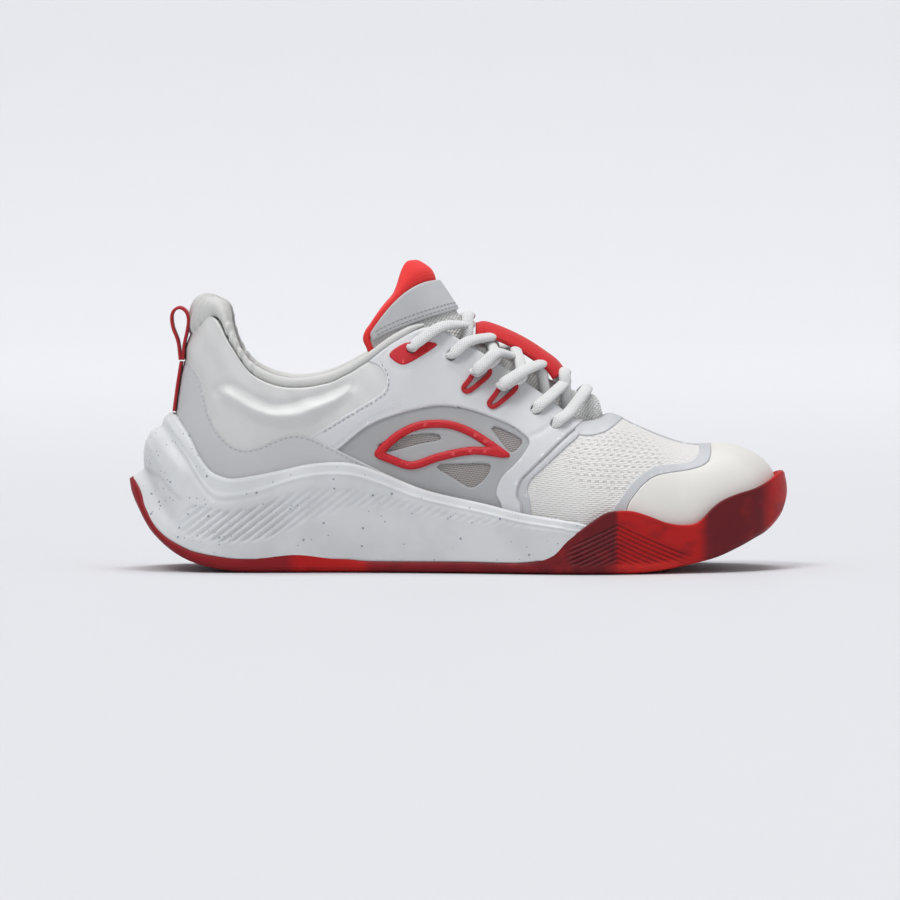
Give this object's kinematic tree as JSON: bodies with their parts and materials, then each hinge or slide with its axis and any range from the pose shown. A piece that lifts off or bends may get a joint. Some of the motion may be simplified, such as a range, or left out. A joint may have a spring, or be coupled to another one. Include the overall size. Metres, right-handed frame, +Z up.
{
  "type": "gymnastics and cheerleading shoe",
  "caption": "Low-cut laced training shoe for the right foot with a rising cupped sole, windowed side panels, padded collar and heel pull loop.",
  "frame": {"origin": "on the ground under the middle of the sole, on the flat of the tread", "axes": "+X towards the toe, +Y towards the inner (medial) side, +Z up"},
  "size_m": [0.2848, 0.1015, 0.1339],
  "materials": {
    "tread_rubber": "satin, marbled",
    "sole_foam": "matte, speckled",
    "board": "matte",
    "insole_cloth": "matte",
    "upper_film": "smooth semi-matte",
    "collar_film": "smooth semi-matte",
    "grey_tape": "smooth",
    "toe_film": "smooth",
    "grey_panel": "matte",
    "dark_mesh": "open knit",
    "badge": "smooth",
    "white_mesh": "open knit",
    "stiffener": "matte",
    "padding": "open foam",
    "lining_cloth": "brushed",
    "red_textile": "ribbed",
    "red_webbing": "woven",
    "lace_cord": "braided",
    "lace_end": "clear tipped"
  },
  "bodies": {
    "root": {"outsole": "tread_rubber", "midsole": "sole_foam", "strobel_board": "board", "insole": "insole_cloth", "heel_foxing": "upper_film", "collar_panel_lateral": "collar_film", "collar_panel_medial": "collar_film", "quarter_lateral": "upper_film", "quarter_medial": "upper_film", "side_tape_lateral": "grey_tape", "side_tape_medial": "grey_tape", "throat_tape": "grey_tape", "toe_tape": "grey_tape", "window_panel_lateral": "grey_panel", "window_panel_medial": "grey_panel", "quarter_mesh_lateral": "dark_mesh", "quarter_mesh_medial": "dark_mesh", "side_badge_lateral": "badge", "side_badge_medial": "badge", "vamp_mesh": "white_mesh", "heel_counter": "stiffener", "collar_foam": "padding", "lining": "lining_cloth", "collar_roll": "lining_cloth", "tongue_mesh": "white_mesh", "tongue_foam": "padding", "tongue_lining": "red_textile", "heel_strap": "red_webbing", "lace": "lace_cord", "lace_tip_lateral": "lace_end", "lace_tip_medial": "lace_end", "lace_cover": "red_textile", "lace_loop_lateral_1": "red_webbing", "lace_loop_lateral_2": "red_webbing", "lace_loop_medial_1": "red_webbing", "lace_loop_medial_2": "red_webbing", "eyelet_patch_lateral": "badge", "eyelet_patch_medial": "badge"},
    "forefoot": {"toe_cap": "toe_film", "toe_puff": "stiffener"},
    "tongue_top": {"tongue_patch": "grey_panel", "tongue_binding": "red_textile"},
    "heel_pull": {"heel_loop": "red_webbing"}
  },
  "joints": [
    {"name": "forefoot_flex", "type": "hinge", "parent": "root", "child": "forefoot", "pos_m": [0.06, 0, 0.018], "axis": [0, -1, 0], "range_deg": [-5, 28], "stiffness_Nm_per_rad": 3, "deforming": ["outsole", "midsole", "strobel_board", "insole", "vamp_mesh", "lining", "toe_tape", "throat_tape"]},
    {"name": "tongue_flex", "type": "hinge", "parent": "root", "child": "tongue_top", "pos_m": [0.002, 0, 0.102], "axis": [0, 1, 0], "range_deg": [-15, 8], "stiffness_Nm_per_rad": 0.1, "deforming": ["tongue_mesh", "tongue_foam", "tongue_lining"]},
    {"name": "pull_loop_hinge", "type": "hinge", "parent": "root", "child": "heel_pull", "pos_m": [-0.1199, 0, 0.0904], "axis": [0, -1, 0], "range_deg": [0, 90]}
  ]
}
